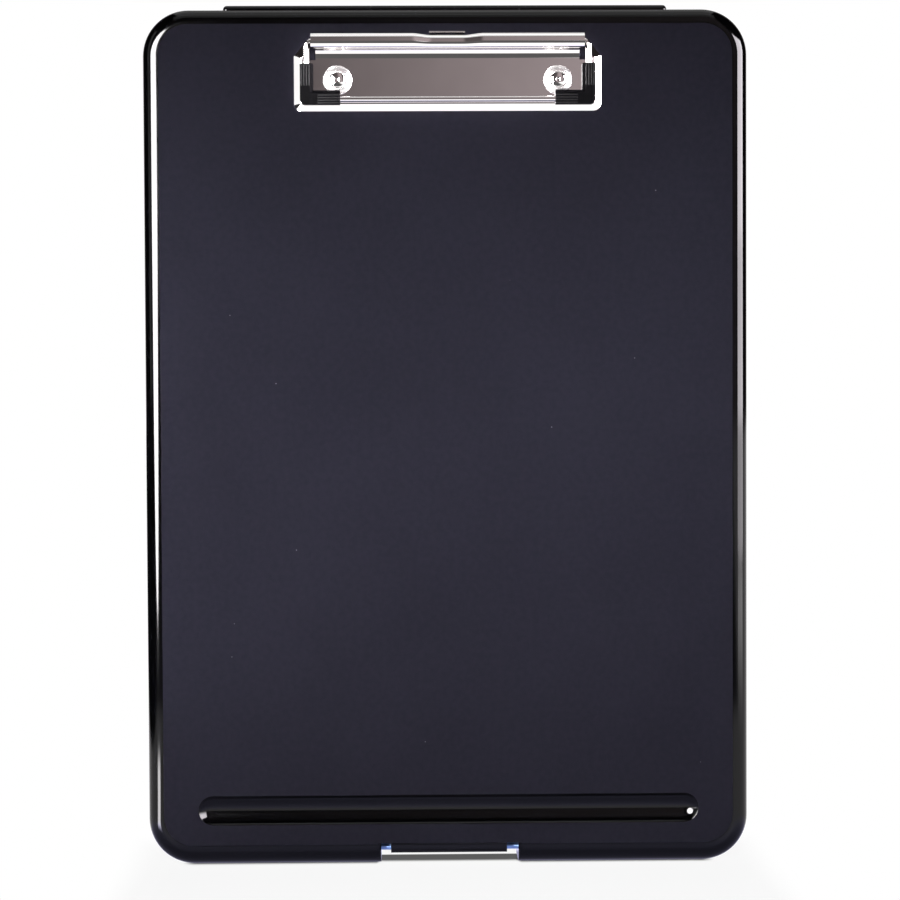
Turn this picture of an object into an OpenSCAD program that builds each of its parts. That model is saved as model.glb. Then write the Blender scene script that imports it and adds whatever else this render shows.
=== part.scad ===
// Storage clipboard box: a shallow lid hinged to a deeper tray, a wire clip on the lid, a latch below.
// The box stands on its latch end. X runs across, Y from the writing panel to the back, Z up.
// The origin is on the surface it stands on, below the middle of its bounding box. Sizes are millimetres.

/* [Box] */
// Width of the closed box
box_w = 237; // [210:1:300]
// Height of the closed box as it stands
box_h = 336; // [280:1:420]
// Thickness of the closed box, from the writing panel to the back
box_t = 26; // [22:0.5:45]
// Radius of the four outer corners
corner_r = 18; // [13:0.5:24]
// Thickness of the walls and floors of both shells
wall_t = 2; // [1.7:0.1:2.4]
// Rounding of the edge round the back
back_edge_r = 5; // [3:0.5:7]
// Gap between the two shells when closed
part_gap = 0.2; // [0.1:0.05:0.4]

/* [Lid] */
// Depth of the lid, from the writing panel to the parting line
lid_t = 8.5; // [8.2:0.1:11]
// Rounding of the edge round the front
front_edge_r = 5.4; // [3.5:0.1:6.5]
// How far the writing panel stands proud of the rim
panel_rise = 0.4; // [0.2:0.1:0.8]
// Flat of the rim above the writing panel
panel_top_gap = 0.5; // [0.2:0.1:4]
// Flat of the rim beside the writing panel
panel_side_gap = 0.8; // [0.2:0.1:4]
// Flat of the rim below the writing panel
panel_foot_gap = 2.3; // [0.2:0.1:4]

/* [Pen groove] */
// Distance from the side of the box to the end of the groove
groove_inset = 20; // [14:0.5:50]
// Height of the groove's centre line above the foot
groove_z = 21.6; // [20:0.1:40]
// Width of the groove's mouth
groove_w = 11.3; // [10:0.1:13]
// Depth of the groove
groove_depth = 2.5; // [2.3:0.1:4.9]
// Thickness of the wall under the groove
groove_skin = 1.6; // [1.2:0.1:1.8]

/* [Hinge] */
// Distance from the side of the box to the end of the hinge
hinge_inset = 31.2; // [30:0.1:60]
// Radius of the hinge knuckles
knuckle_r = 1.9; // [1.7:0.05:2.3]
// Height of the hinge axis above the top of the box
hinge_rise = 0.25; // [0.15:0.05:0.5]
// Number of knuckles, an odd number, of which the tray has one more than the lid
knuckle_count = 3; // [3:2:11]
// Gap between neighbouring knuckles
knuckle_gap = 0.2; // [0.1:0.05:0.8]
// Radius of the hinge rod
rod_r = 0.8; // [0.6:0.05:0.95]

/* [Latch] */
// Width of the notch that the latch lies in
notch_w = 55; // [51:0.5:70]
// Height of the notch
notch_h = 8.2; // [7.8:0.1:9]
// Width of the latch
latch_w = 45.8; // [30:0.2:46]
// Height of the latch's front lip
latch_lip_h = 3.8; // [3:0.1:4]
// Wall thickness of the latch
latch_t = 1.7; // [1.3:0.1:2]
// Width of the catch that snaps into the lid
catch_w = 24; // [12:0.5:28]
// Height of the catch above the latch
catch_h = 0.7; // [0.4:0.1:1]
// Radius of the latch's axle
axle_r = 1.25; // [0.9:0.05:1.4]
// Distance from the parting line back to the axle
axle_setback = 2.5; // [2.4:0.1:6]
// Height of the axle above the foot
axle_z = 4.85; // [4.3:0.05:5.2]

/* [Clip] */
// Width of the clip's base plate
clip_w = 120; // [110:1:140]
// Distance from the top of the box down to the lower edge of the plate
clip_drop = 40.1; // [38:0.1:70]
// Sideways offset of the clip from the middle of the lid
clip_x = 0.8; // [-3:0.1:3]
// Height of the plate from its lower edge to the hinge sleeve's axis
clip_axis_h = 26.9; // [25:0.1:36]
// Thickness of the plate's sheet metal
sheet_t = 0.8; // [0.6:0.05:1]
// Height of the plate's flat above the writing panel
plate_h = 2; // [1.6:0.1:2.3]
// Width of the sloped border round the plate
border_w = 2.9; // [2:0.1:4]
// Radius of the plate's lower corners
plate_corner_r = 3; // [2:0.1:5]
// Width of the slanted upper corners of the plate
slant_w = 6.7; // [4:0.1:8]
// Height of the slanted upper corners of the plate
slant_h = 8.3; // [6:0.1:10]
// Length of the hinge sleeve
sleeve_len = 106.5; // [95:0.5:107]
// Outer radius of the hinge sleeve
sleeve_r = 2.75; // [2.4:0.05:3]
// Height of the sleeve's axis above the writing panel
sleeve_h = 4.1; // [3.9:0.1:4.8]
// Length of the crimp that holds the ends of the wire
crimp_len = 22; // [10:1:40]

/* [Bail] */
// Radius of the bail's wire
wire_r = 1.05; // [0.9:0.05:1.2]
// Distance from the sleeve's axis to the bail's lower run
bail_reach = 22.5; // [20:0.1:23.5]
// Gap between the end of the sleeve and the bail's legs
bail_side_gap = 0.9; // [0.5:0.1:1.5]
// Bend radius of the wire
wire_bend_r = 2.4; // [2:0.1:3]
// Width of a grip's legs
grip_w = 4.6; // [4.2:0.1:5]
// Thickness of a grip
grip_t = 3.7; // [3.4:0.1:4]
// Length of a grip's upright leg
grip_leg_h = 16; // [12:0.1:17]
// Length of a grip's lower leg
grip_leg_w = 15.6; // [12:0.1:22]
// Number of ribs on each leg
grip_rib_count = 4; // [2:1:5]

/* [Rivets] */
// Distance between the two rivets
rivet_spacing = 86; // [70:1:90]
// Height of the rivets above the plate's lower edge
rivet_up = 11.9; // [11:0.1:13]
// Radius of a rivet's shank
shank_r = 1.6; // [1.2:0.1:2]
// Radius of a rivet's head
rivet_head_r = 3.1; // [2.7:0.1:3.5]
// Radius of the domed ring under the head
ring_r = 5.7; // [5:0.1:6]
// Radius of the washer inside the lid
washer_r = 5; // [4:0.1:6]

/* [Hidden] */
$fn = 72;
// Cuts run past a face by this much, and joined pieces reach into each other by it
over = 0.5;
// Running clearance of a pin in a hole
run_fit = 0.05;
// Clearance of loose parts that pass each other
pass_fit = 0.3;
// Clearance of the closed latch below the notch's ceiling, and of its catch in the lid's recess
catch_fit = 0.2;
// Thickness of the plane that a sloped shape is drawn from
thin = 0.01;

// The sleeve is the part of the clip that reaches furthest forward
clip_reach = sleeve_h + sleeve_r;
front_y = (clip_reach - box_t) / 2;
back_y = front_y + box_t;
part_y = front_y + lid_t;
rim_y = front_y + panel_rise;
ceiling_y = rim_y + wall_t;
lid_end_y = part_y - part_gap / 2;
tray_end_y = part_y + part_gap / 2;

panel_side = front_edge_r + panel_side_gap;
panel_top = front_edge_r + panel_top_gap;
panel_foot = front_edge_r + panel_foot_gap;
panel_corner_r = corner_r - panel_side;

groove_r = (groove_w * groove_w / 4 + groove_depth * groove_depth) / (2 * groove_depth);
groove_run = box_w - 2 * groove_inset - groove_w;

hinge_z = box_h + hinge_rise;
hinge_len = box_w - 2 * hinge_inset;
knuckle_pitch = hinge_len / knuckle_count;
knuckle_len = knuckle_pitch - knuckle_gap;
relief_r = knuckle_r + pass_fit;
rail_h = relief_r + wall_t;
rail_t = relief_r + wall_t;
rail_w = hinge_len + 2 * wall_t;

notch_corner_r = 0.8;
latch_top = notch_h - catch_fit;
latch_foot = latch_top - latch_lip_h;
latch_setback = 0.1;
latch_front_y = rim_y + latch_setback;
axle_y = part_y + axle_setback;
barrel_wall = 0.7;
barrel_r = axle_r + barrel_wall;
axle_grip = wall_t - catch_fit;
catch_t = 1.6;
catch_setback = 1.2;
catch_y = ceiling_y + catch_setback;

strip_t = 1.2;
strip_rise = 2;
strip_root = 4;

plate_z = box_h - clip_drop;
sleeve_z = plate_z + clip_axis_h;
sleeve_y = front_y - sleeve_h;
top_rim = 0.1;
plate_top = sleeve_z + sleeve_r + top_rim;
web_r = sleeve_h - plate_h;
crease_z = sleeve_z - sleeve_r - web_r;
web_inset = 1.8;
web_len = sleeve_len - 2 * web_inset;
wire_fit = 0.1;
crimp_fold = 0.4;
crimp_r = wire_r + wire_fit + sheet_t + crimp_fold;
slant_ratio = 0.6;
least_corner_r = 0.4;
// Steps that the sheet's sloped border is hollowed by, measured across it
border_skin = 1.5;

leg_x = sleeve_len / 2 + bail_side_gap + wire_r;
// The wire's two ends stop this far from the middle, inside the crimp
wire_end_x = 1;
run_z = sleeve_z - bail_reach;
grip_outer = leg_x + grip_w / 2;
grip_foot = run_z - grip_w / 2;
grip_chamfer = 0.9;
grip_corner_r = 2;
rib_w = 0.5;
rib_h = 0.3;
// The grip's hollow over the domed ring starts this far above the wire's centre line
grip_hollow_h = 0.9;

rivet_z = plate_z + rivet_up;
ring_seat_h = 0.9;
ring_edge_h = 0.25;
ring_seat_w = 0.5;
ring_gap = 0.4;
head_h = 1;
head_edge_h = 0.3;
tail_rim = 1;
washer_t = 0.8;
tail_h = 0.9;

plastic = [0.16, 0.16, 0.2];
plastic_inside = [0.22, 0.22, 0.26];
chrome = [0.82, 0.8, 0.79];
steel = [0.62, 0.63, 0.65];
rubber = [0.1, 0.1, 0.11];

// ---- Helpers ----

// Turns a shape drawn on X and Y, with its depth along Z, so that the depth runs towards the back
module depth_to_back() {
    rotate([90, 0, 180]) children();
}

// Turns a shape drawn on X and Y, with its height along Z, so that the height runs to the front
module height_to_front() {
    rotate([90, 0, 0]) children();
}

// Extrudes an outline drawn as Y and Z along X, centred
module along_x(length) {
    translate([-length / 2, 0, 0]) rotate([90, 0, 90]) linear_extrude(length) children();
}

// Section of a shell's border: the closed face at y = 0 and the outer side at x = reach
module border_section(reach, depth, edge_r) {
    translate([0, edge_r]) square([reach, depth - edge_r]);
    square([reach - edge_r, depth]);
    intersection() {
        translate([reach - edge_r, edge_r]) circle(edge_r);
        translate([reach - edge_r, 0]) square(edge_r);
    }
}

// Block with round corners whose closed face has a rounded edge, centred on X, from y = 0 to height
module tray_block(width, height, corner, edge_r, depth) {
    half = width / 2 - corner;
    spots = [[half, height - corner], [-half, height - corner], [-half, corner], [half, corner]];
    runs = [height - 2 * corner, width - 2 * corner];
    for (i = [0:3]) {
        translate(spots[i]) rotate([0, 0, 90 * i]) {
            rotate_extrude(angle = 90) border_section(corner, depth, edge_r);
            rotate([90, 0, 0]) linear_extrude(runs[i % 2]) border_section(corner, depth, edge_r);
        }
    }
    translate([-half, corner, 0]) cube([2 * half, height - 2 * corner, depth]);
}

module round_rect(width, height, corner) {
    translate([-width / 2 + corner, 0]) square([width - 2 * corner, height]);
    translate([-width / 2, corner]) square([width, height - 2 * corner]);
    for (x = [-1, 1], y = [corner, height - corner])
        translate([x * (width / 2 - corner), y]) circle(corner);
}

// ---- Both shells ----

module notch_outline(width, height, corner) {
    translate([-width / 2, -over]) square([width, height - corner + over]);
    translate([-width / 2 + corner, -over]) square([width - 2 * corner, height + over]);
    for (x = [-1, 1]) translate([x * (width / 2 - corner), height - corner]) circle(corner);
}

module notch_cut() {
    translate([0, back_y + over, 0]) height_to_front() linear_extrude(box_t + 2 * over)
        notch_outline(notch_w, notch_h, notch_corner_r);
}

// Walls round the notch, left standing in a shell's hollow
module notch_walls() {
    width = notch_w + 2 * wall_t;
    translate([-width / 2, front_y - over, -over])
        cube([width, box_t + 2 * over, notch_h + wall_t + over]);
}

// Thicker rail behind the hinge, left standing in a shell's hollow
module hinge_rail() {
    translate([-rail_w / 2, part_y - rail_t, box_h - rail_h]) cube([rail_w, 2 * rail_t, rail_h + over]);
}

// Places copies at the middle of the knuckles that one shell has
module knuckle_spots(first) {
    for (i = [first:2:knuckle_count - 1])
        translate([(i - (knuckle_count - 1) / 2) * knuckle_pitch, part_y, hinge_z]) children();
}

// Knuckle with its root on the side of the shell that carries it
module knuckle(side) {
    along_x(knuckle_len) {
        circle(knuckle_r);
        translate([side > 0 ? part_gap / 2 : -knuckle_r, -hinge_rise - wall_t / 2])
            square([knuckle_r - part_gap / 2, hinge_rise + wall_t / 2]);
    }
}

module knuckle_relief() {
    along_x(knuckle_len + 2 * knuckle_gap) circle(relief_r);
}

module rod_hole(radius) {
    translate([0, part_y, hinge_z]) along_x(hinge_len + 2 * over) circle(radius);
}

// ---- Base tray ----

module tray_hollow() {
    depth = back_y - wall_t - tray_end_y + over;
    difference() {
        translate([0, back_y - wall_t, wall_t]) height_to_front()
            tray_block(box_w - 2 * wall_t, box_h - 2 * wall_t, corner_r - wall_t,
                max(back_edge_r - wall_t, 1), depth);
        notch_walls();
        hinge_rail();
    }
}

// Strips on the tray's side walls that reach into the lid and keep it in line
module side_strips() {
    length = box_h - 2 * corner_r - 2 * strip_root;
    for (side = [-1, 1]) {
        face = box_w / 2 - wall_t;
        inner = face - pass_fit - strip_t;
        translate([side > 0 ? inner : -inner - strip_t, tray_end_y - strip_rise, corner_r + strip_root])
            cube([strip_t, strip_rise + strip_root, length]);
        translate([side > 0 ? inner : -face - over, tray_end_y, corner_r + strip_root])
            cube([face + over - inner, strip_root, length]);
    }
}

module base_tray() {
    color(plastic) difference() {
        union() {
            difference() {
                translate([0, back_y, 0]) height_to_front()
                    tray_block(box_w, box_h, corner_r, back_edge_r, back_y - tray_end_y);
                tray_hollow();
                notch_cut();
                knuckle_spots(1) knuckle_relief();
            }
            knuckle_spots(0) knuckle(1);
            side_strips();
        }
        rod_hole(rod_r);
        translate([0, axle_y, axle_z]) along_x(notch_w + 2 * axle_grip) circle(axle_r);
    }
}

// ---- Lid shell ----

module groove_section(radius, from_depth) {
    intersection() {
        translate([0, groove_depth - groove_r]) circle(radius);
        translate([-radius - 1, from_depth]) square([2 * radius + 2, box_t]);
    }
}

// Trough with round ends, its middle on the groove's centre line and its depth towards the back
module groove_trough(radius, from_depth) {
    translate([0, front_y, groove_z]) depth_to_back() {
        rotate([90, 0, 90]) translate([0, 0, -groove_run / 2]) linear_extrude(groove_run)
            groove_section(radius, from_depth);
        for (side = [-1, 1])
            translate([side * groove_run / 2, 0, 0]) rotate([0, 0, -90 * side])
                rotate_extrude(angle = 180) intersection() {
                    groove_section(radius, from_depth);
                    translate([0, from_depth]) square([radius + 1, box_t]);
                }
    }
}

module lid_hollow() {
    difference() {
        translate([0, ceiling_y, wall_t]) depth_to_back()
            tray_block(box_w - 2 * wall_t, box_h - 2 * wall_t, corner_r - wall_t,
                max(front_edge_r - wall_t, 1), lid_end_y - ceiling_y + over);
        notch_walls();
        hinge_rail();
        groove_trough(groove_r + groove_skin, panel_rise + wall_t / 2);
    }
}

module writing_panel() {
    translate([0, rim_y + over, panel_foot]) height_to_front() linear_extrude(panel_rise + over)
        round_rect(box_w - 2 * panel_side, box_h - panel_foot - panel_top, panel_corner_r);
}

// Recess that takes the latch's catch, open towards the tray
module catch_recess() {
    translate([-catch_w / 2 - pass_fit, catch_y - 2 * pass_fit, notch_h - over])
        cube([catch_w + 2 * pass_fit, box_t, over + catch_h + catch_fit]);
}

module rivet_holes() {
    for (side = [-1, 1])
        translate([clip_x + side * rivet_spacing / 2, ceiling_y + over, rivet_z])
            height_to_front() cylinder(h = plate_h + panel_rise + wall_t + 2 * over, r = shank_r + run_fit);
}

module lid_shell() {
    color(plastic) difference() {
        union() {
            difference() {
                union() {
                    translate([0, rim_y, 0]) depth_to_back()
                        tray_block(box_w, box_h, corner_r, front_edge_r, lid_end_y - rim_y);
                    writing_panel();
                }
                lid_hollow();
                notch_cut();
                knuckle_spots(0) knuckle_relief();
            }
            knuckle_spots(1) knuckle(-1);
        }
        rod_hole(rod_r + run_fit);
        groove_trough(groove_r, -over);
        catch_recess();
        rivet_holes();
    }
}

module hinge_rod() {
    color(steel) translate([0, part_y, hinge_z]) along_x(hinge_len - knuckle_gap) circle(rod_r);
}

// ---- Latch ----

module latch_section() {
    translate([latch_front_y, latch_top - latch_t]) square([axle_y - latch_front_y, latch_t]);
    translate([latch_front_y, latch_foot]) square([latch_t, latch_lip_h]);
    translate([axle_y, axle_z]) circle(barrel_r);
}

module latch_side() {
    translate([latch_front_y, latch_foot]) square([axle_y - latch_front_y, latch_lip_h]);
}

module latch() {
    color(plastic) difference() {
        union() {
            along_x(latch_w) latch_section();
            for (side = [-1, 1])
                translate([side * (latch_w - latch_t) / 2, 0, 0]) along_x(latch_t) latch_side();
            translate([-catch_w / 2, catch_y, latch_top - over]) cube([catch_w, catch_t, catch_h + over]);
        }
        translate([0, axle_y, axle_z]) along_x(latch_w + 2 * over) circle(axle_r + run_fit);
    }
}

module latch_axle() {
    color(steel) translate([0, axle_y, axle_z]) along_x(notch_w + 2 * axle_grip) circle(axle_r);
}

// ---- Clip plate ----

// Outline of the plate, drawn in from its edge by inset
module plate_outline(inset) {
    half = clip_w / 2 - inset;
    corner = max(plate_corner_r - inset, least_corner_r);
    top = plate_top - plate_z - inset;
    slant_in = inset * slant_ratio;
    hull() {
        for (side = [-1, 1]) translate([side * (half - corner), inset + corner]) circle(corner, $fn = 32);
        polygon([[-half, top - slant_h + slant_in], [half, top - slant_h + slant_in],
            [half - slant_w + slant_in, top], [-half + slant_w - slant_in, top]]);
    }
}

// Pan with sloped sides, from the writing panel up to the given height
module pan(inset, height) {
    hull() {
        linear_extrude(thin) plate_outline(inset);
        linear_extrude(height) plate_outline(inset + border_w);
    }
}

// Sheet metal from the plate's crease, up and over into the sleeve
module web_section() {
    intersection() {
        difference() {
            circle(web_r + sheet_t);
            circle(web_r);
        }
        translate([0, -web_r - sheet_t]) square(web_r + sheet_t);
    }
}

module sleeve_section(radius) {
    difference() {
        circle(radius);
        circle(radius - sheet_t);
        translate([-radius - 1, -radius - 1]) square(radius + 1);
    }
}

module crimp_section() {
    difference() {
        circle(crimp_r);
        circle(wire_r + wire_fit);
    }
}

// Strip that joins the web to the crimp
module crimp_root() {
    translate([0, -sheet_t / 2]) square([sleeve_r - wire_r - wire_fit, sheet_t]);
}

module clip_plate() {
    side_len = (sleeve_len - crimp_len) / 2;
    color(chrome) difference() {
        translate([clip_x, front_y, plate_z]) height_to_front() {
            difference() {
                pan(0, plate_h);
                translate([0, 0, -thin]) pan(sheet_t * border_skin, plate_h - sheet_t);
                translate([-sleeve_len / 2 - over, crease_z - plate_z, -over])
                    cube([sleeve_len + 2 * over, clip_drop, plate_h + 2 * over]);
            }
            // The web is drawn as height along the plate and height above the panel
            rotate([90, 0, 90]) {
                translate([0, 0, -web_len / 2]) linear_extrude(web_len)
                    translate([crease_z - plate_z, sleeve_h]) web_section();
                translate([sleeve_z - plate_z, sleeve_h, 0]) {
                    for (side = [-1, 1])
                        translate([0, 0, side * (crimp_len + side_len) / 2 - side_len / 2])
                            linear_extrude(side_len) sleeve_section(sleeve_r);
                    translate([0, 0, -crimp_len / 2]) linear_extrude(crimp_len) crimp_section();
                    translate([-sleeve_r, 0, -crimp_len / 2])
                        linear_extrude(crimp_len) crimp_root();
                }
            }
        }
        rivet_holes();
    }
}

// ---- Bail ----

// The wire's path is drawn on X and Y, with the sleeve's axis at y = 0
module wire_shape(radius) {
    for (side = [-1, 1]) {
        // Run inside the sleeve, to its end in the crimp
        translate([side * wire_end_x, 0, 0]) rotate([0, side * 90, 0])
            cylinder(h = leg_x - wire_bend_r - wire_end_x, r = radius);
        translate([side * (leg_x - wire_bend_r), -wire_bend_r, 0]) rotate([0, 0, side > 0 ? 0 : 90])
            wire_bend(radius);
        translate([side * leg_x, -wire_bend_r, 0]) rotate([90, 0, 0])
            cylinder(h = bail_reach - 2 * wire_bend_r, r = radius);
        translate([side * (leg_x - wire_bend_r), wire_bend_r - bail_reach, 0])
            rotate([0, 0, side > 0 ? -90 : 180]) wire_bend(radius);
    }
    translate([-leg_x + wire_bend_r, -bail_reach, 0]) rotate([0, 90, 0])
        cylinder(h = 2 * (leg_x - wire_bend_r), r = radius);
}

module wire_bend(radius) {
    rotate_extrude(angle = 90) translate([wire_bend_r, 0]) circle(radius);
}

module on_bail() {
    translate([clip_x, sleeve_y, sleeve_z]) height_to_front() children();
}

module bail_wire() {
    color(chrome) on_bail() wire_shape(wire_r);
}

// Section of a grip's leg: the outer side at x = 0, the inner side chamfered at the front
module grip_section() {
    polygon([[0, -grip_t / 2], [grip_w, -grip_t / 2], [grip_w, grip_t / 2 - grip_chamfer],
        [grip_w - grip_chamfer, grip_t / 2], [0, grip_t / 2]]);
    for (i = [0:grip_rib_count - 1])
        translate([rib_w + i * (grip_w - grip_chamfer - 2 * rib_w) / (grip_rib_count - 0.5),
            grip_t / 2 - over]) square([rib_w, rib_h + over]);
}

// Corner piece of the bail at the right, drawn like the wire
module grip() {
    foot = grip_foot - sleeve_z;
    difference() {
        intersection() {
            union() {
                translate([grip_outer, foot + grip_leg_h, 0]) rotate([90, 0, 0]) mirror([1, 0, 0])
                    linear_extrude(grip_leg_h) grip_section();
                translate([grip_outer - grip_leg_w, foot, 0]) rotate([90, 0, 90])
                    linear_extrude(grip_leg_w) grip_section();
            }
            translate([0, 0, -grip_t]) linear_extrude(2 * grip_t) {
                translate([0, foot]) square([grip_outer - grip_corner_r, grip_leg_h]);
                translate([0, foot + grip_corner_r]) square([grip_outer, grip_leg_h - grip_corner_r]);
                translate([grip_outer - grip_corner_r, foot + grip_corner_r]) circle(grip_corner_r);
            }
        }
        wire_shape(wire_r + run_fit);
        // Hollow below, that clears the domed ring
        translate([rivet_spacing / 2, rivet_z - sleeve_z, -grip_t])
            cylinder(h = grip_t / 2 + grip_hollow_h, r = ring_r + ring_gap);
    }
}

module grip_left() {
    color(rubber) on_bail() mirror([1, 0, 0]) grip();
}

module grip_right() {
    color(rubber) on_bail() grip();
}

// ---- Rivets ----

module at_rivet(side) {
    translate([clip_x + side * rivet_spacing / 2, front_y, rivet_z]) height_to_front() children();
}

module rivet(side) {
    seat = plate_h + ring_seat_h;
    inside = -(panel_rise + wall_t + washer_t);
    dome_r = (rivet_head_r * rivet_head_r + head_h * head_h) / (2 * head_h);
    color(chrome) at_rivet(side) {
        translate([0, 0, inside]) cylinder(h = seat - inside + over / 2, r = shank_r);
        intersection() {
            translate([0, 0, seat]) cylinder(h = head_h, r = rivet_head_r);
            translate([0, 0, seat + head_h + head_edge_h - dome_r]) sphere(dome_r);
        }
        translate([0, 0, inside - tail_h]) cylinder(h = tail_h, r = shank_r + tail_rim);
    }
}

// Domed ring between the plate and the rivet's head
module rivet_ring(side) {
    color(chrome) at_rivet(side) translate([0, 0, plate_h]) rotate_extrude()
        polygon([[shank_r + run_fit, 0], [ring_r, 0], [ring_r, ring_edge_h],
            [rivet_head_r + ring_seat_w, ring_seat_h], [shank_r + run_fit, ring_seat_h]]);
}

module rivet_washer(side) {
    color(steel) at_rivet(side) translate([0, 0, -(panel_rise + wall_t + washer_t)]) difference() {
        cylinder(h = washer_t, r = washer_r);
        translate([0, 0, -over]) cylinder(h = washer_t + 2 * over, r = shank_r + run_fit);
    }
}

base_tray();
lid_shell();
hinge_rod();
latch();
latch_axle();
clip_plate();
bail_wire();
grip_left();
grip_right();
rivet(-1);  // rivet_left
rivet(1);  // rivet_right
rivet_ring(-1);  // rivet_ring_left
rivet_ring(1);  // rivet_ring_right
rivet_washer(-1);  // rivet_washer_left
rivet_washer(1);  // rivet_washer_right
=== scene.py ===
import math

import bmesh
import bpy
from bpy.props import FloatProperty, FloatVectorProperty, IntProperty, PointerProperty
from mathutils import Matrix, Quaternion, Vector


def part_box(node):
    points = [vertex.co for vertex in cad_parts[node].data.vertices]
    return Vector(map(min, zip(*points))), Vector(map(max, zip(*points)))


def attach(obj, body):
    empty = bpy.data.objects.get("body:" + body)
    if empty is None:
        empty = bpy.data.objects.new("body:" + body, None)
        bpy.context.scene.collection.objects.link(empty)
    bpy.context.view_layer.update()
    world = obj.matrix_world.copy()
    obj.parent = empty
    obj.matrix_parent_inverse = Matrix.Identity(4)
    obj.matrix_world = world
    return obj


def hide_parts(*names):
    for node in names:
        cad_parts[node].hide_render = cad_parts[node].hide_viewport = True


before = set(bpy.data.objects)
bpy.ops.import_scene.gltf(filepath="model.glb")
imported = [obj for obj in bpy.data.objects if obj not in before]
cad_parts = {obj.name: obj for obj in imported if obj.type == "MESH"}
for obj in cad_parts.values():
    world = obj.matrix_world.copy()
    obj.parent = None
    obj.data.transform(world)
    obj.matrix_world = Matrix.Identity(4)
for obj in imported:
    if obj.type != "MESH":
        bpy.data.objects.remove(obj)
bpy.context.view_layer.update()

bl_info = {
    "name": "Storage clipboard box",
    "version": (1, 0, 0),
    "blender": (4, 5, 0),
    "location": "View3D > Sidebar > Clipboard",
    "description": "Dresses the packed storage clipboard box and sets its stage",
    "category": "Object",
}

MM = 0.001
# Cutters run past a face by this much
OVER = 0.5 * MM


def length(name, millimetres, description):
    return FloatProperty(name=name, description=description, default=millimetres * MM,
                         min=0.0, unit="LENGTH", subtype="DISTANCE", precision=5)


def place(name, millimetres, description):
    return FloatProperty(name=name, description=description, default=millimetres * MM,
                         unit="LENGTH", subtype="DISTANCE", precision=5)


def colour(name, value, description):
    return FloatVectorProperty(name=name, description=description, default=value, size=3,
                               min=0.0, max=1.0, subtype="COLOR")


class BoxSizes(bpy.types.PropertyGroup):
    width: length("Width", 237, "Width of the closed box")
    height: length("Height", 336, "Height of the closed box as it stands")
    front_y: place("Front", -9.575, "Place of the writing panel's face")
    back_y: place("Back", 16.425, "Place of the tray's flat back")
    part_y: place("Parting", -1.075, "Place of the parting plane between lid and tray")
    part_gap: length("Parting gap", 0.2, "Gap between the closed shells")
    corner: length("Corner radius", 18, "Radius of the four outer corners")
    wall: length("Wall", 2, "Thickness of the walls of both shells")
    rim_r: length("Rim radius", 5.4, "Rounding of the lid's front edge")
    back_r: length("Back radius", 5, "Rounding of the tray's back edge")
    seam_r: length("Seam rounding", 0.3, "Rounding of both shells' edges at the parting plane")
    strip_t: length("Strip thickness", 1.2, "Thickness of the strips that keep the lid in line")
    strip_rise: length("Strip rise", 2, "How far the strips reach into the lid")


class PanelSizes(bpy.types.PropertyGroup):
    rise: length("Rise", 0.4, "How far the writing panel stands proud of the rim")
    side: length("Side rim", 6.2, "Distance from the box's side to the panel")
    top: length("Top rim", 5.9, "Distance from the box's top to the panel")
    foot: length("Foot rim", 7.7, "Distance from the box's foot to the panel")
    edge_r: length("Edge rounding", 0.3, "Rounding of the panel's edge")
    dip: length("Dip depth", 0.35, "Depth of the fine line round the panel")
    dip_w: length("Dip width", 0.4, "Width of the fine line round the panel")
    groove_z: length("Groove height", 21.6, "Height of the pen groove above the foot")
    groove_run: length("Groove run", 185.7, "Straight length of the pen groove")
    groove_r: length("Groove radius", 7.635, "Radius of the pen groove's section")
    groove_depth: length("Groove depth", 2.5, "Depth of the pen groove")
    groove_lip: length("Groove lip", 0.45, "Rounding of the pen groove's mouth")
    groove_skin: length("Groove wall", 1.6, "Thickness of the wall under the pen groove")


class HingeSizes(bpy.types.PropertyGroup):
    axis_z: length("Axis height", 336.25, "Height of the hinge axis")
    run: length("Length", 174.6, "Length of the row of knuckles")
    count: IntProperty(name="Knuckles", description="Number of knuckles", default=3, min=3)
    knuckle_r: length("Knuckle radius", 1.9, "Radius of the knuckles")
    gap: length("Knuckle gap", 0.2, "Gap between neighbouring knuckles")
    relief: length("Relief", 0.3, "Clearance round the other shell's knuckles")


class LatchSizes(bpy.types.PropertyGroup):
    notch_w: length("Notch width", 55, "Width of the notch that the latch lies in")
    notch_h: length("Notch height", 8.2, "Height of the notch")
    notch_r: length("Notch rounding", 0.8, "Rounding of the notch's upper corners")
    width: length("Width", 45.8, "Width of the latch")
    top: length("Top", 8.0, "Height of the latch's upper face")
    foot: length("Foot", 4.4, "Height of the latch's lower edge")
    wall: length("Wall", 1.7, "Wall thickness of the latch")
    front_y: place("Front", -9.075, "Place of the latch's front face")
    axle_y: place("Axle place", 1.425, "Place of the axle")
    axle_z: length("Axle height", 4.85, "Height of the axle")
    axle_r: length("Axle radius", 1.25, "Radius of the axle")
    barrel_r: length("Barrel radius", 1.95, "Outer radius of the latch round its axle")
    catch_w: length("Catch width", 24, "Width of the catch")
    catch_h: length("Catch height", 0.7, "Height of the catch above the latch")


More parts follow.
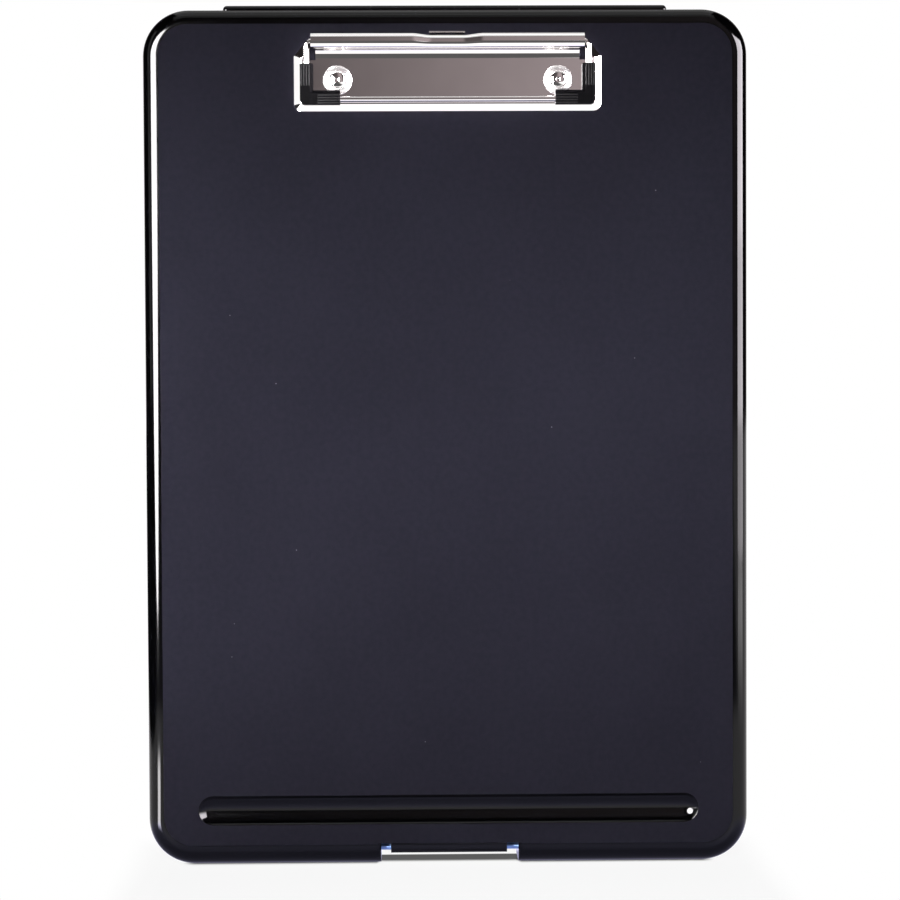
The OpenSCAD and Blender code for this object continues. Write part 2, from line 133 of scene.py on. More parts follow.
class ClipSizes(bpy.types.PropertyGroup):
    x: place("Middle", 0.8, "Sideways place of the clip")
    plate_w: length("Plate width", 120, "Width of the base plate")
    plate_z: length("Plate foot", 295.9, "Height of the plate's lower edge")
    plate_top: length("Plate top", 325.65, "Height of the plate's upper edge")
    flat_h: length("Flat height", 2.0, "Height of the plate's flat above the panel")
    border: length("Border", 2.7, "Width of the sloped border")
    corner: length("Corner radius", 3.0, "Radius of the plate's lower corners")
    slant_w: length("Slant width", 6.7, "Width of the slanted upper corners")
    slant_h: length("Slant height", 8.3, "Height of the slanted upper corners")
    sheet: length("Sheet", 0.8, "Thickness of the sheet metal")
    sleeve_w: length("Sleeve length", 106.5, "Length of the rolled sleeve")
    sleeve_r: length("Sleeve depth", 2.75, "Outer radius of the rolled sleeve, measured to the front")
    sleeve_rz: length("Sleeve radius", 3.1, "Outer radius of the rolled sleeve, measured upwards")
    web_run: length("Web run", 4.1, "Height of the web between the flat and the sleeve")
    sleeve_h: length("Sleeve height", 4.1, "Height of the sleeve's axis above the panel")
    sleeve_z: length("Sleeve place", 322.8, "Height of the sleeve's axis above the foot")
    web_inset: length("Web inset", 1.8, "How much shorter the web is than the sleeve at each end")
    crimp_w: length("Crimp width", 20, "Width of the crimped middle of the sleeve")
    crimp_d: length("Crimp depth", 0.42, "How much the crimp lowers the sleeve")


class BailSizes(bpy.types.PropertyGroup):
    wire_r: length("Wire radius", 1.05, "Radius of the bail's wire")
    leg_x: length("Leg place", 55.2, "Distance from the clip's middle to the wire's legs")
    reach: length("Reach", 22.5, "Distance from the sleeve's axis to the bail's lower run")
    bend_r: length("Bend radius", 2.4, "Bend radius of the wire")
    grip_w: length("Grip width", 5.1, "Width of a grip's upright leg")
    grip_low: length("Lower leg width", 5.6, "Width of a grip's lower leg")
    grip_edge: length("Grip edge", 2.3, "Distance from the wire to the grip's outer side")
    grip_t: length("Grip thickness", 3.7, "Thickness of a grip")
    grip_leg_h: length("Upright leg", 16, "Length of a grip's upright leg")
    grip_leg_w: length("Lower leg", 15.6, "Length of a grip's lower leg")
    under: length("Under cut", 1.6, "Chamfer of a grip's inner edge on the side of the plate")
    chamfer: length("Chamfer", 1.2, "Chamfer of a grip's inner edge")
    corner: length("Corner", 2, "Radius of a grip's outer corner")
    ribs: IntProperty(name="Ribs", description="Number of ribs on each leg", default=4, min=1)
    rib_run: length("Rib length", 8.4, "Length of the ribs")
    rib_w: length("Rib width", 0.42, "Width of a rib")
    rib_h: length("Rib height", 0.3, "Height of a rib")


class RivetSizes(bpy.types.PropertyGroup):
    spacing: length("Spacing", 86, "Distance between the two rivets")
    z: length("Place", 307.8, "Height of the rivets above the foot")
    shank_r: length("Shank radius", 1.6, "Radius of a rivet's shank")
    head_r: length("Head radius", 3.1, "Radius of a rivet's head")
    head_h: length("Head height", 0.7, "Height of a rivet's head")
    ring_r: length("Ring radius", 5.7, "Radius of the domed ring")
    ring_h: length("Ring height", 1.2, "Height of the domed ring")
    washer_r: length("Washer radius", 5, "Radius of the washer inside the lid")
    washer_t: length("Washer thickness", 0.8, "Thickness of the washer inside the lid")
    tail_h: length("Tail height", 0.9, "Height of the rivet's tail inside the lid")


class FinishColours(bpy.types.PropertyGroup):
    gloss: colour("Polished plastic", (0.0012, 0.0012, 0.0018), "Polished rim, sides and groove")
    grain: colour("Grained plastic", (0.0300, 0.0288, 0.0440), "Finely grained writing panel")
    inside: colour("Inside", (0.0120, 0.0120, 0.0160), "Satin inside of both shells")
    chrome: colour("Plating", (0.82, 0.80, 0.79), "Bright plating of the clip")
    steel: colour("Steel", (0.62, 0.64, 0.68), "Drawn steel of the hinge rod and the washers")
    blued: colour("Blued steel", (0.36, 0.56, 0.95), "Bluish steel of the latch's axle")
    rubber: colour("Grips", (0.0040, 0.0036, 0.0050), "Soft plastic of the grips")
    # Mid grey, darker than the white table, so that the lit table near the box reads as painted shade; away from the
    # box the camera sees plain white
    table: colour("Table", (0.50, 0.51, 0.53), "White table")


def sizes(name):
    return getattr(bpy.context.scene, "clipboard_" + name)


# ---- Materials ----


class Wire:
    """A socket in a material's tree, with the operators of the shader's maths."""

    def __init__(self, tree, socket):
        self.tree, self.socket = tree, socket

    def maths(self, operation, *values):
        return make_node(self.tree, "ShaderNodeMath", {"operation": operation}, dict(enumerate(values)))

    def __add__(self, other):
        return self.maths("ADD", self, other)

    __radd__ = __add__

    def __sub__(self, other):
        return self.maths("SUBTRACT", self, other)

    def __rsub__(self, other):
        return self.maths("SUBTRACT", other, self)

    def __mul__(self, other):
        return self.maths("MULTIPLY", self, other)

    __rmul__ = __mul__

    def __truediv__(self, other):
        return self.maths("DIVIDE", self, other)

    def __neg__(self):
        return self.maths("MULTIPLY", self, -1.0)

    def __abs__(self):
        return self.maths("ABSOLUTE", self)

    def most(self, other):
        return self.maths("MAXIMUM", self, other)

    def least(self, other):
        return self.maths("MINIMUM", self, other)

    def root(self):
        return self.maths("SQRT", self)

    def grey(self):
        """This value as a colour, which may be brighter than white."""
        return make_node(self.tree, "ShaderNodeCombineXYZ", None, {0: self, 1: self, 2: self})

    def above(self, limit):
        return self.maths("GREATER_THAN", self, limit)

    def ramp(self, low, high, to_low=0.0, to_high=1.0):
        """Smooth step of this value from low to high."""
        return make_node(self.tree, "ShaderNodeMapRange", {"interpolation_type": "SMOOTHSTEP"},
                         {0: self, 1: low, 2: high, 3: to_low, 4: to_high})

    def mix(self, first, second):
        """Mix of two colours by this value."""
        return make_node(self.tree, "ShaderNodeMix", {"data_type": "RGBA"}, {0: self, 6: first, 7: second}, 2)


def make_node(tree, kind, settings=None, values=None, output=0):
    """Adds a node. Its settings come first, then the values or links of its sockets."""
    node = tree.nodes.new(kind)
    for name, value in (settings or {}).items():
        setattr(node, name, value)
    for key, value in (values or {}).items():
        if isinstance(value, Wire):
            tree.links.new(value.socket, node.inputs[key])
        elif isinstance(value, (tuple, list)) and node.inputs[key].type == "RGBA":
            node.inputs[key].default_value = (*value[:3], 1.0)
        else:
            node.inputs[key].default_value = value
    return Wire(tree, node.outputs[output])


def start_material(name, **constants):
    """A new material, its tree and its shader, with the constants set on the shader's own sockets."""
    material = bpy.data.materials.new(name)
    material.use_nodes = True
    tree = material.node_tree
    shader = next(n for n in tree.nodes if n.type == "BSDF_PRINCIPLED")
    for key, value in constants.items():
        socket = shader.inputs[key.replace("_", " ")]
        socket.default_value = (*value, 1.0) if socket.type == "RGBA" else value
    return material, tree, shader


def object_place(tree):
    return make_node(tree, "ShaderNodeTexCoord", output=3)


def noise(tree, place_, scale, detail=2.0, roughness=0.5, stretch=None):
    """Even noise from 0 to 1 on the piece's own coordinates."""
    if stretch:
        place_ = make_node(tree, "ShaderNodeMapping", {"vector_type": "POINT"},
                           {"Vector": place_, "Scale": stretch})
    return make_node(tree, "ShaderNodeTexNoise", None,
                     {"Vector": place_, "Scale": scale, "Detail": detail, "Roughness": roughness})


def bump(tree, height, distance, strength=1.0):
    return make_node(tree, "ShaderNodeBump", None,
                     {"Height": height, "Distance": distance, "Strength": strength})


def feed(tree, shader, **links):
    for key, wire in links.items():
        tree.links.new(wire.socket, shader.inputs[key.replace("_", " ")])


def specks(tree, where, scale, share, size):
    """Sparse dust specks: 1 on a speck and 0 between them. A higher share keeps fewer of them."""
    cells = tree.nodes.new("ShaderNodeTexVoronoi")
    cells.inputs["Scale"].default_value = scale
    tree.links.new(where.socket, cells.inputs["Vector"])
    distance, chance = Wire(tree, cells.outputs["Distance"]), Wire(tree, cells.outputs["Color"])
    near = distance.ramp(size * 0.6, size, 1.0, 0.0)
    return near * chance.above(share)


def polished_plastic():
    """Polished rim and sides: almost black, a little uneven where the mould's wall shows."""
    finish = sizes("colours")
    material, tree, shader = start_material(
        "Polished plastic", Specular_IOR_Level=0.2, IOR=1.5, Roughness=0.07)
    where = object_place(tree)
    cloud = noise(tree, where, 60, 3.0)
    fine = noise(tree, where, 900, 2.0)
    base = tuple(finish.gloss)
    feed(tree, shader,
         Base_Color=cloud.mix(base, tuple(c * 1.6 for c in base)),
         Roughness=0.05 + 0.03 * cloud + 0.02 * fine,
         Normal=bump(tree, noise(tree, where, 22, 1.0), 0.00006, 0.6))
    return material


def grained_plastic():
    """Writing panel: a fine, even moulded grain with a soft sheen and a few specks of dust."""
    finish = sizes("colours")
    material, tree, shader = start_material(
        "Grained plastic", Specular_IOR_Level=0.001, IOR=1.5, Roughness=0.48)
    where = object_place(tree)
    cloud = noise(tree, where, 14, 4.0, 0.6)
    grain = noise(tree, where, 2600, 2.0, 0.6)
    mottle = noise(tree, where, 420, 2.0)
    base = tuple(finish.grain)
    tone = (cloud * 0.55 + mottle * 0.45).ramp(0.3, 0.7)
    colour_ = tone.mix(tuple(c * 0.86 for c in base), tuple(c * 1.12 for c in base))
    dust = specks(tree, where, 120, 0.84, 0.035)
    feed(tree, shader,
         Base_Color=(dust * 0.5).mix(colour_, (0.45, 0.45, 0.5)),
         Roughness=0.44 + 0.1 * grain,
         Normal=bump(tree, grain + 0.3 * mottle, 0.00003, 0.5))
    return material


def inside_plastic():
    """Inside of the shells: satin, with faint flow marks of the moulding."""
    finish = sizes("colours")
    material, tree, shader = start_material(
        "Inside plastic", Specular_IOR_Level=0.3, IOR=1.5, Roughness=0.35)
    where = object_place(tree)
    flow = noise(tree, where, 20, 3.0, 0.5, (1.0, 1.0, 0.25))
    fine = noise(tree, where, 1800, 2.0)
    base = tuple(finish.inside)
    feed(tree, shader,
         Base_Color=flow.mix(tuple(c * 0.85 for c in base), tuple(c * 1.15 for c in base)),
         Roughness=0.3 + 0.12 * fine + 0.05 * flow,
         Normal=bump(tree, fine, 0.00002, 0.5))
    return material


def plated(name, rough, wave):
    """Chrome, with haze on it and slight waves of the metal under it."""
    material, tree, shader = start_material(name, Metallic=1.0, Roughness=rough)
    where = object_place(tree)
    haze = noise(tree, where, 120, 3.0)
    base = tuple(sizes("colours").chrome)
    feed(tree, shader,
         Base_Color=haze.mix(tuple(c * 0.95 for c in base), base),
         Roughness=rough + 0.03 * (haze - 0.5),
         Normal=bump(tree, noise(tree, where, 70, 1.0), wave, 0.5))
    return material


def bright_plating():
    return plated("Bright plating", 0.05, 0.00003)


def satin_plating():
    return plated("Satin plating", 0.26, 0.00001)


def drawn(name, base, rough):
    """Steel with fine draw lines round it."""
    material, tree, shader = start_material(name, Metallic=1.0, Roughness=rough)
    lines = noise(tree, object_place(tree), 900, 2.0, 0.5, (0.08, 1.0, 1.0))
    feed(tree, shader,
         Base_Color=lines.mix(tuple(c * 0.85 for c in base), tuple(base)),
         Roughness=rough - 0.06 + 0.14 * lines,
         Normal=bump(tree, lines, 0.00001, 0.5))
    return material


def drawn_steel():
    return drawn("Drawn steel", sizes("colours").steel, 0.22)


def blued_steel():
    return drawn("Blued steel", sizes("colours").blued, 0.5)


def soft_plastic(name, shine):
    """Soft plastic of the grips: dark, satin and a little dusty."""
    finish = sizes("colours")
    material, tree, shader = start_material(name, Specular_IOR_Level=shine, IOR=1.5, Roughness=0.38)
    where = object_place(tree)
    cloud = noise(tree, where, 300, 3.0)
    grain = noise(tree, where, 3500, 2.0)
    base = tuple(finish.rubber)
    feed(tree, shader,
         Base_Color=cloud.mix(base, tuple(c * 1.8 for c in base)),
         Roughness=0.32 + 0.12 * grain + 0.06 * cloud,
         Normal=bump(tree, grain, 0.00002, 0.6))
    return material


def soft_grip():
    return soft_plastic("Soft grip", 0.012)


def grip_ribs():
    return soft_plastic("Grip ribs", 0.12)


def table_top(contact, radius, fade):
    """White table: it shows white away from the box, keeps the box's shadow, partly rendered and partly painted into
    its colour, and a faint reflection; mirrors see a painted glow instead of the table.
    """
    finish = sizes("colours")
    material, tree, shader = start_material(
        "Table", Specular_IOR_Level=0.01, IOR=1.5, Roughness=0.08)
    where = object_place(tree)
    fine = noise(tree, where, 300, 2.0)
    base = tuple(finish.table)
    split = tree.nodes.new("ShaderNodeSeparateXYZ")
    tree.links.new(where.socket, split.inputs[0])
    x, y = (Wire(tree, split.outputs[n]) for n in range(2))
    front = abs(x).ramp(0.0265, 0.029, -0.0005, -0.004)
    beside, before = (abs(x) - 0.1).most(0.0), (front - y).most(5.0 * (y - 0.0092)).most(0.0)
    away = (beside * beside + before * before).root()
    # Painted shadow: the table's colour is darkened to 0.12 of itself under the box's footprint, where the box shades
    # it
    feed(tree, shader, Base_Color=away.ramp(0.0, 0.008).mix(
        tuple(c * 0.12 for c in base), fine.mix(tuple(c * 0.995 for c in base), base)))
    rays = tree.nodes.new("ShaderNodeLightPath")
    seen, mirrored = (Wire(tree, rays.outputs[n]) for n in ("Is Camera Ray", "Is Glossy Ray"))
    clear = away.ramp(contact, fade, 0.0, 0.08).most(beside.ramp(0.014, 0.032, 0.0, 0.08))
    far = away.ramp(0.0, contact, 0.0, 0.92) + clear
    white = make_node(tree, "ShaderNodeEmission", None, {"Color": (1.0, 1.0, 1.0), "Strength": 1.0})
    # Painted reflection: mirrors see the table as a glowing sheet, not as its shading. It is dimmer and bluer near
    # the box, holds painted reflections of the left and right soft lights in two bright wedges, and goes dim far in
    # front and far to the left
    right, left = -y / (x - 0.118), (-0.118 - x) / -y
    right = right.ramp(0.12, 0.22) * right.ramp(1.5, 1.3) * away.ramp(0.3, 1.1) * away.ramp(1.6, 1.3)
    left = left.ramp(0.2, 0.3) * left.ramp(0.8, 0.6) * away.ramp(0.05, 0.09) * away.ramp(0.34, 0.24)
    near = away.ramp(0.01, 0.08, 0.5, 1.5) + 6.5 * right * y.ramp(0.0, -0.1) + 34.0 * left * y.ramp(0.0, -0.05)
    out_front = away.ramp(radius, radius + 0.08) * y.ramp(0.05, -0.05) * x.ramp(0.6, 0.2)
    out_left = (-x).ramp(0.40, 0.46)
    dark = out_front.most(out_left)
    glow = near + dark * (out_left.ramp(0.0, 1.0, 0.12, 0.02) - near)
    tint = away.ramp(0.03, 0.12).mix((0.94, 0.92, 1.35), (1.0, 0.98, 0.99))
    painted_glow_colour = make_node(tree, "ShaderNodeVectorMath", {"operation": "MULTIPLY"}, {0: tint, 1: glow.grey()})
    painted_mirror_glow = make_node(tree, "ShaderNodeEmission", None, {"Color": painted_glow_colour, "Strength": 1.0})
    lit = Wire(tree, shader.outputs[0])
    shown = make_node(tree, "ShaderNodeMixShader", None, {0: far * seen, 1: lit, 2: white})
    end = make_node(tree, "ShaderNodeMixShader", None, {0: mirrored, 1: shown, 2: painted_mirror_glow})
    output = next(n for n in tree.nodes if n.type == "OUTPUT_MATERIAL")
    tree.links.new(end.socket, output.inputs["Surface"])
    return material


MAKERS = {
    "Polished plastic": polished_plastic,
    "Grained plastic": grained_plastic,
    "Inside plastic": inside_plastic,
    "Bright plating": bright_plating,
    "Satin plating": satin_plating,
    "Drawn steel": drawn_steel,
    "Blued steel": blued_steel,
    "Soft grip": soft_grip,
    "Grip ribs": grip_ribs,
}


def material(name):
    return bpy.data.materials.get(name) or MAKERS[name]()


# ---- Mesh helpers ----


def to_object(name, shape, *materials):
    """Turns a bmesh into an object, with its faces turned outwards."""
    bmesh.ops.recalc_face_normals(shape, faces=shape.faces)
    mesh = bpy.data.meshes.new(name)
    shape.to_mesh(mesh)
    shape.free()
    piece = bpy.data.objects.new(name, mesh)
    bpy.context.scene.collection.objects.link(piece)
    for name_ in materials:
        mesh.materials.append(material(name_))
    return piece


def settle(piece):
    """Applies the modifiers of a piece."""
    graph = bpy.context.evaluated_depsgraph_get()
    mesh = bpy.data.meshes.new_from_object(
        piece.evaluated_get(graph), preserve_all_data_layers=True, depsgraph=graph)
    old, piece.data = piece.data, mesh
    piece.modifiers.clear()
    mesh.name = old.name
    bpy.data.meshes.remove(old)
    return piece


def carve(piece, cutter, operation="DIFFERENCE"):
    """Cuts the cutter out of the piece, or joins it on, and removes the cutter."""
    cut = piece.modifiers.new("Carve", "BOOLEAN")
    cut.operation, cut.solver, cut.object = operation, "EXACT", cutter
    cut.material_mode = "TRANSFER"
    settle(piece)
    bpy.data.objects.remove(cutter)
    return piece


def shade(piece, angle=32):
    """Smooth shading with sharp edges above the angle, weighted so that flats stay flat."""
    mesh = piece.data
    mesh.polygons.foreach_set("use_smooth", [True] * len(mesh.polygons))
    mesh.set_sharp_from_angle(angle=math.radians(angle))
    even = piece.modifiers.new("Even shading", "WEIGHTED_NORMAL")
    even.keep_sharp, even.weight = True, 60
    return settle(piece)


def soften(piece, width, segments=2, angle=35):
    """Rounds the edges of a piece that are sharper than the angle."""
    edge = piece.modifiers.new("Soft edges", "BEVEL")
    edge.limit_method, edge.angle_limit = "ANGLE", math.radians(angle)
    edge.width, edge.segments, edge.harden_normals = width, segments, False
    edge.use_clamp_overlap = True
    return settle(piece)


def add_rows(shape, loops, material_index=0):
    """Faces between neighbouring loops of equally many points."""
    rows = [[shape.verts.new(point) for point in loop] for loop in loops]
    for low, high in zip(rows, rows[1:]):
        for i in range(len(low)):
            j = (i + 1) % len(low)
            shape.faces.new((low[i], low[j], high[j], high[i])).material_index = material_index
    return rows


def loft(name, loops, *materials):
    """Closed solid through the loops, with a flat face at each end."""
    shape = bmesh.new()
    rows = add_rows(shape, loops)
    shape.faces.new(rows[0])
    shape.faces.new(rows[-1])
    return to_object(name, shape, *materials)


def block(name, low, high, *materials):
    corners = [(low[0], low[1]), (high[0], low[1]), (high[0], high[1]), (low[0], high[1])]
    return loft(name, [[Vector((x, y, z)) for x, y in corners] for z in (low[2], high[2])], *materials)


def rod(name, start, end, rows, *materials, steps=40):
    """Round bar along X through rows of place and radius. start gives the axis; end is not used."""
    loops = [[Vector((x, start[0] + r * math.cos(a), start[1] + r * math.sin(a)))
              for a in (2 * math.pi * i / steps for i in range(steps))] for x, r in rows]
    return loft(name, loops, *materials)


def arc(centre, radius, start, end, steps):
    """Points on an arc in a plane, with angles in degrees."""
    return [(centre[0] + radius * math.cos(a), centre[1] + radius * math.sin(a))
            for a in (math.radians(start + (end - start) * i / steps) for i in range(steps + 1))]


def rounded(points, radii, steps=6, closed=True):
    """Path through the points, each corner rounded by its radius."""
    made = []
    count = len(points)
    for i, (point, radius) in enumerate(zip(points, radii)):
        here = Vector(point)
        if not closed and i in (0, count - 1):
            made.append(tuple(here))
            continue
        back = (Vector(points[i - 1]) - here).normalized()
        ahead = (Vector(points[(i + 1) % count]) - here).normalized()
        half = back.angle(ahead) / 2
        reach = radius / math.tan(half)
        start, end = here + back * reach, here + ahead * reach
        centre = here + (back + ahead).normalized() * (radius / math.sin(half))
        a, b = start - centre, end - centre
        sweep = a.angle_signed(b)
        for k in range(steps + 1):
            turn = Matrix.Rotation(-sweep * k / steps, 2)
            made.append(tuple(centre + turn @ a))
    return made


# ---- Shells ----


def border_loop(side, top, foot, y, steps=18):
    """Outline of the box at one depth, drawn in from its sides, its top and its foot."""
    box = sizes("box")
    radius = max(box.corner - side, 0.4 * MM)
    left, right = side - box.width / 2, box.width / 2 - side
    low, high = foot + radius, box.height - top - radius
    spots = [(right - radius, high), (left + radius, high), (left + radius, low), (right - radius, low)]
    return [Vector((x, y, z)) for turn, spot in enumerate(spots)
            for x, z in arc(spot, radius, 90 * turn, 90 * turn + 90, steps)]


def even_loop(inset, y):
    return border_loop(inset, inset, inset, y)


def panel_loop(outward, y):
    """Outline of the writing panel, moved outwards."""
    panel = sizes("panel")
    return border_loop(panel.side - outward, panel.top - outward, panel.foot - outward, y)


def stadium_loop(half_width, y, steps=20):
    """Outline of the pen groove at one depth."""
    panel = sizes("panel")
    return [Vector((x, y, z)) for turn in (0, 1)
            for x, z in arc(((0.5 - turn) * panel.groove_run, panel.groove_z), half_width,
                            180 * turn - 90, 180 * turn + 90, steps)]


def groove_loops(radius, lip, steps=16):
    """Loops of the pen groove from its mouth to just above its bottom line."""
    box, panel = sizes("box"), sizes("panel")
    rise = panel.groove_r - panel.groove_depth
    loops = []
    start = math.degrees(math.acos(rise / radius))
    if lip:
        lip_x = math.sqrt((radius + lip) ** 2 - (lip + rise) ** 2)
        start = math.degrees(math.atan2(lip_x, lip + rise))
        loops = [stadium_loop(x, box.front_y + y) for x, y in arc((lip_x, lip), lip, -90, -90 - start, 5)]
    for i in range(1 if lip else 0, steps + 1):
        a = math.radians(start) * (1 - i / steps)
        half_width = max(radius * math.sin(a), 0.02 * MM)
        loops.append(stadium_loop(half_width, box.front_y + radius * math.cos(a) - rise))
    return loops


def notch_cutter():
    box, latch = sizes("box"), sizes("latch")
    inner, edge, shift = latch.notch_w / 2 - 0.35 * MM, 1.5 * MM, 0.35 * MM
    front = box.front_y + sizes("panel").rise
    rows = [(inner + edge, front - 1 * MM)]
    rows += [(inner + edge * (1 - math.sin(a)), front + edge * (1 - math.cos(a)))
             for a in (math.pi / 2 * i / 8 for i in range(9))] + [(inner, box.back_y + OVER)]
    loops = []
    for half, y in rows:
        left, right = shift - half, shift + half
        corners = [(left, -OVER), (right, -OVER), (right, latch.notch_h), (left, latch.notch_h)]
        outline = rounded(corners, [0.01 * MM, 0.01 * MM, latch.notch_r, latch.notch_r])
        loops.append([Vector((x, y, z)) for x, z in outline])
    return loft("Notch", loops, "Polished plastic")


def notch_walls():
    box, latch = sizes("box"), sizes("latch")
    half = latch.notch_w / 2 + box.wall
    return block("Notch walls", (-half, box.front_y - OVER, -OVER),
                 (half, box.back_y + OVER, latch.notch_h + box.wall), "Inside plastic")


def hinge_rail():
    box, hinge = sizes("box"), sizes("hinge")
    deep = hinge.knuckle_r + hinge.relief + box.wall
    half = hinge.run / 2 + box.wall
    return block("Rail", (-half, box.part_y - deep, box.height - deep),
                 (half, box.part_y + deep, box.height + OVER), "Inside plastic")


def knuckle_spans(first):
    """Ends in X of the knuckles of one shell."""
    hinge = sizes("hinge")
    pitch = hinge.run / hinge.count
    half = (pitch - hinge.gap) / 2
    return [((i - (hinge.count - 1) / 2) * pitch - half, (i - (hinge.count - 1) / 2) * pitch + half)
            for i in range(first, hinge.count, 2)]


def cut_reliefs(shell, first):
    """Room in one shell for the knuckles of the other."""
    box, hinge = sizes("box"), sizes("hinge")
    for low, high in knuckle_spans(first):
        rows = [(low - hinge.gap, hinge.knuckle_r + hinge.relief), (high + hinge.gap, hinge.knuckle_r + hinge.relief)]
        axis = (box.part_y, hinge.axis_z)
        carve(shell, rod("Relief", axis, axis, rows, "Polished plastic"))


def add_knuckles(shell, first, side):
    """Knuckles with rounded ends, and the root that joins each to its shell."""
    box, hinge = sizes("box"), sizes("hinge")
    axis = (box.part_y, hinge.axis_z)
    r = hinge.knuckle_r
    for low, high in knuckle_spans(first):
        ends = []
        for place_, outward in ((low, -1), (high, 1)):
            outer = abs(place_) > hinge.run / 2 - hinge.gap
            edge = 1.5 * MM if outer else 0.03 * MM
            ends.append([(place_ - outward * edge * (1 - math.sin(a)), r - edge * (1 - math.cos(a)))
                         for a in (math.pi / 2 * i / 5 for i in range(6))])
            if side > 0 and not outer:
                collar = r - 0.06 * MM
                ends[-1] = ends[-1][:-1] + [(place_, collar), (place_ + outward * 0.95 * hinge.gap, collar)]
        rows = ends[0][::-1] + ends[1]
        knuckle = rod("Knuckle", axis, axis, rows, "Polished plastic")
        near, far = (box.part_gap / 2, r) if side > 0 else (-r, -box.part_gap / 2)
        root = block("Root", (low + 0.02 * MM, box.part_y + near, box.height - box.wall / 2),
                     (high - 0.02 * MM, box.part_y + far, hinge.axis_z), "Polished plastic")
        carve(knuckle, root, "UNION")
        carve(shell, knuckle, "UNION")


def lid_outside():
    """Outside of the lid: rounded rim, fine line, raised panel and pen groove."""
    box, panel = sizes("box"), sizes("panel")
    end_y = box.part_y - box.part_gap / 2
    rim_y = box.front_y + panel.rise
    loops = [even_loop(box.seam_r * (1 - math.sin(a)), end_y - box.seam_r * (1 - math.cos(a)))
             for a in (math.pi / 2 * i / 4 for i in range(5))]
    loops += [even_loop(box.rim_r * (1 - math.cos(a)), rim_y + box.rim_r * (1 - math.sin(a)))
              for a in (math.pi / 2 * i / 20 for i in range(21))]
    for share, depth in ((1.0, 0.0), (0.97, 0.9), (0.9, 1.0), (0.1, 1.0)):
        loops.append(panel_loop(panel.dip_w * share, rim_y + panel.dip * depth))
    r = panel.edge_r
    loops += [panel_loop(-r * (1 - math.cos(a)), box.front_y + r * (1 - math.sin(a)))
              for a in (math.pi / 2 * i / 5 for i in range(6))]
    shape = bmesh.new()
    outer = add_rows(shape, loops)
    inner = add_rows(shape, groove_loops(panel.groove_r, panel.groove_lip))
    shape.faces.new(outer[0])
    bottom = shape.faces.new(inner[-1])
    edges = [shape.edges.get((row[i - 1], row[i])) for row in (outer[-1], inner[0]) for i in range(len(row))]
    filled = bmesh.ops.triangle_fill(shape, use_beauty=True, use_dissolve=False, edges=edges)
    for part in filled["geom"]:
        if isinstance(part, bmesh.types.BMFace):
            part.material_index = 1
    for part in list(shape.faces):
        if all(v.co.y < box.front_y + r + 1e-6 for v in part.verts) and part is not bottom \
                and any(v in part.verts for row in outer[-6:] for v in row):
            part.material_index = 1
    return to_object("lid", shape, "Polished plastic", "Grained plastic")


def hollow(floor_y, open_y, edge_r, name):
    """Inside of a shell, from past its open end to its floor, with a rounded edge."""
    box = sizes("box")
    way = 1 if floor_y > open_y else -1
    loops = [even_loop(box.wall, open_y), even_loop(box.wall, floor_y - way * edge_r)]
    loops += [even_loop(box.wall + edge_r * (1 - math.cos(a)), floor_y - way * edge_r * (1 - math.sin(a)))
              for a in (math.pi / 2 * i / 8 for i in range(1, 9))]
    space = loft(name, loops, "Inside plastic")
    carve(space, notch_walls())
    carve(space, hinge_rail())
    return space


class CLIPBOARD_OT_lid(bpy.types.Operator):
    """Make the lid with its rim, writing panel and pen groove"""
    bl_idname = "clipboard.lid"
    bl_label = "Lid"

    def execute(self, context):
        box, panel, latch = sizes("box"), sizes("panel"), sizes("latch")
        lid = lid_outside()
        end_y = box.part_y - box.part_gap / 2
        ceiling = box.front_y + panel.rise + box.wall
        space = hollow(ceiling, end_y + OVER, box.rim_r - box.wall, "Lid hollow")
        under = groove_loops(panel.groove_r + panel.groove_skin, 0)
        carve(space, loft("Groove wall", under, "Inside plastic"))
        carve(lid, space)
        carve(lid, notch_cutter())
        catch_y = ceiling + 0.6 * MM
        carve(lid, block("Recess", (-latch.catch_w / 2 - 0.3 * MM, catch_y, latch.notch_h - OVER),
                         (latch.catch_w / 2 + 0.3 * MM, box.back_y, latch.notch_h + 0.9 * MM),
                         "Polished plastic"))
        cut_reliefs(lid, 0)
        add_knuckles(lid, 1, -1)
        shade(lid)
        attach(lid, "lid")
        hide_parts("lid_shell")
        return {"FINISHED"}


class CLIPBOARD_OT_tray(bpy.types.Operator):
    """Make the tray with its walls, strips and knuckles"""
    bl_idname = "clipboard.tray"
    bl_label = "Tray"

    def execute(self, context):
        box = sizes("box")
        start_y = box.part_y + box.part_gap / 2
        loops = [even_loop(box.seam_r * (1 - math.sin(a)), start_y + box.seam_r * (1 - math.cos(a)))
                 for a in (math.pi / 2 * i / 4 for i in range(5))]
        loops += [even_loop(box.back_r * (1 - math.cos(a)), box.back_y - box.back_r * (1 - math.sin(a)))
                  for a in (math.pi / 2 * i / 18 for i in range(19))]
        tray = loft("tray", loops, "Polished plastic")
        carve(tray, hollow(box.back_y - box.wall, start_y - OVER, box.back_r - box.wall, "Tray hollow"))
        carve(tray, notch_cutter())
        cut_reliefs(tray, 1)
        add_knuckles(tray, 0, 1)
        run = 4 * MM
        low, high = box.corner + run, box.height - box.corner - run
        face = box.width / 2 - box.wall
        inner = face - 0.3 * MM - box.strip_t
        for side in (-1, 1):
            ends = sorted((side * inner, side * (inner + box.strip_t)))
            roots = sorted((side * inner, side * (face + OVER)))
            strip = block("Strip", (ends[0], start_y - box.strip_rise, low), (ends[1], start_y + run, high),
                          "Inside plastic")
            carve(strip, block("Root", (roots[0], start_y, low), (roots[1], start_y + run, high),
                               "Inside plastic"), "UNION")
            carve(tray, strip, "UNION")
        shade(tray)
        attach(tray, "base")
        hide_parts("base_tray")
        return {"FINISHED"}


